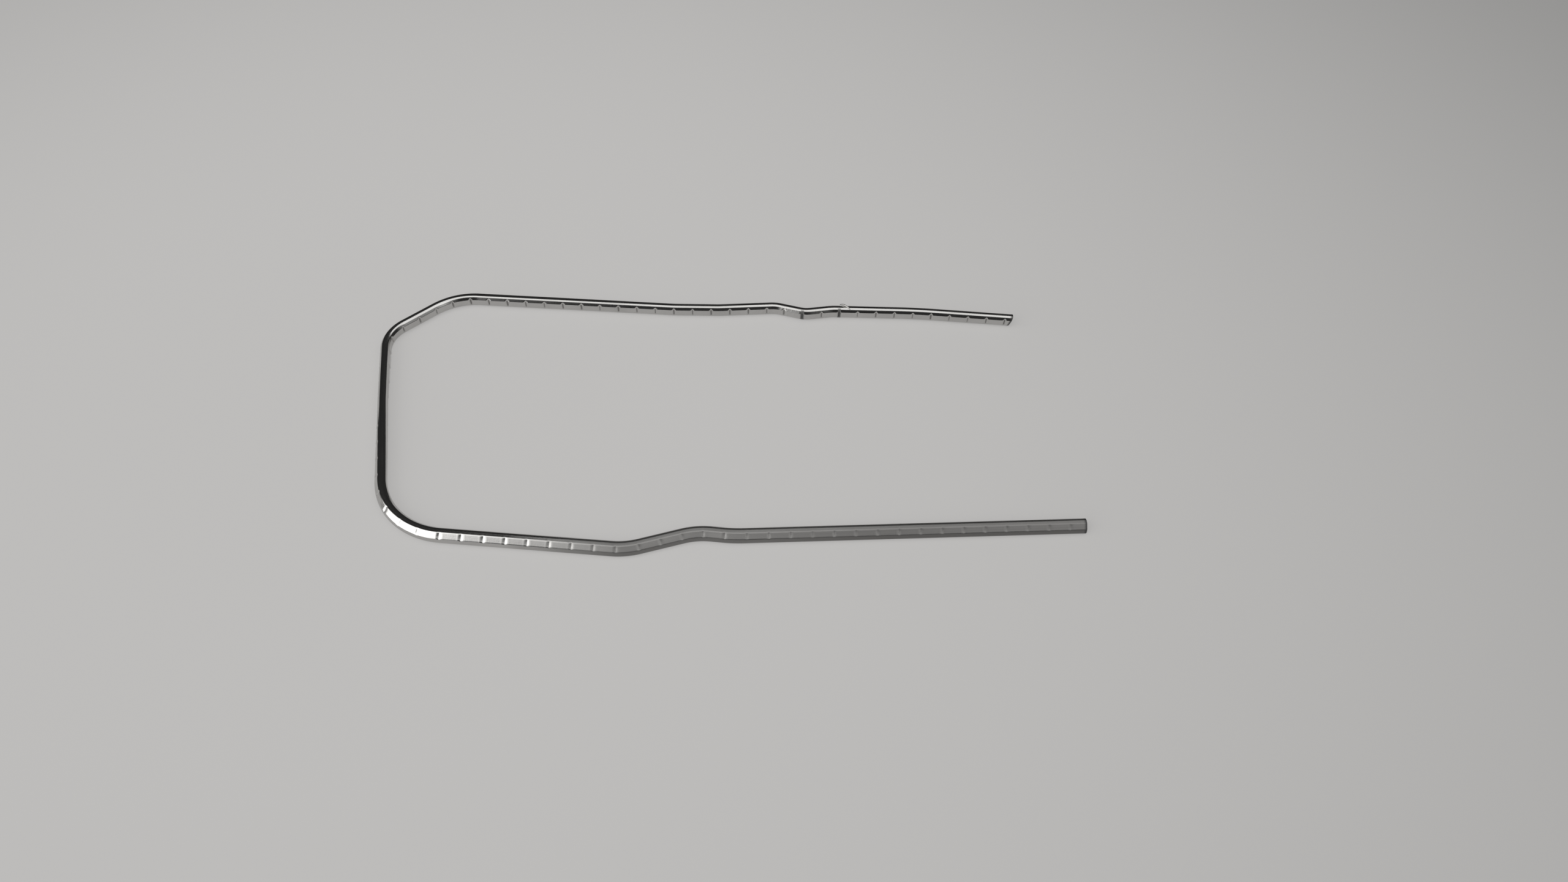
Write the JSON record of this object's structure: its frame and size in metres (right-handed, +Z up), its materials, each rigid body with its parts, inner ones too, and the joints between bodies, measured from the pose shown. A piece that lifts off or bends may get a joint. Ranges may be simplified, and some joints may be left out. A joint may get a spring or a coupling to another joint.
{
  "type": "cable needle",
  "caption": "U-shaped cable needle bent from one length of notched, flattened steel wire, with square-cut ends.",
  "frame": {"origin": "centre of the outer box, on the plane that the needle lies on", "axes": "+X along the arms towards the open end of the U, +Y across the arms towards the upper arm, +Z up off the table"},
  "size_m": [0.1039, 0.0478, 0.0021],
  "materials": {
    "bright_steel": "bright drawn, with fine lines along the wire"
  },
  "bodies": {
    "root": {"needle_wire": "bright_steel"}
  },
  "joints": []
}
